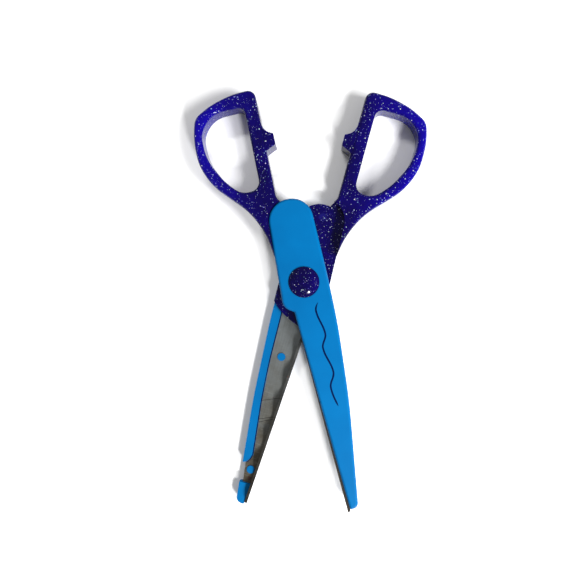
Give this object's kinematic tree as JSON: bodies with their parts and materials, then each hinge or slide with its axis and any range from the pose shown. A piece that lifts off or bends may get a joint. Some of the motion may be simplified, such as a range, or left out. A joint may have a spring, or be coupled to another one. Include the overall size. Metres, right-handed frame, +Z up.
{
  "type": "pinking shears",
  "caption": "Light wave-edge craft shears: glitter plastic finger loops, pale blue blade covers and steel blades with a wavy cutting rim, turning on a capped rivet.",
  "frame": {"origin": "on the rivet's axis, in the flat plane that the shears rest on", "axes": "+Z up along the rivet, +Y from the rivet towards the finger loops, +X to the lower half's loop"},
  "size_m": [0.086, 0.1558, 0.0112],
  "materials": {
    "handle_plastic": "translucent navy with fine silver glitter",
    "cover_plastic": "satin light blue",
    "blade_steel": "pressed sheet, slightly tarnished",
    "rivet_steel": "turned",
    "washer_plastic": "natural nylon"
  },
  "bodies": {
    "lower_half": {"lower_handle": "handle_plastic", "lower_cover": "cover_plastic", "lower_blade": "blade_steel", "base_cap": "handle_plastic", "pivot_rivet": "rivet_steel", "rivet_collar": "rivet_steel", "spring_washer": "rivet_steel", "friction_washer": "washer_plastic"},
    "upper_half": {"upper_handle": "handle_plastic", "upper_cover": "cover_plastic", "upper_blade": "blade_steel", "dome_cap": "handle_plastic"}
  },
  "joints": [
    {"name": "pivot", "type": "hinge", "parent": "lower_half", "child": "upper_half", "pos_m": [0, 0, 0.0046], "axis": [0, 0, 1], "range_deg": [-27, 75]}
  ]
}
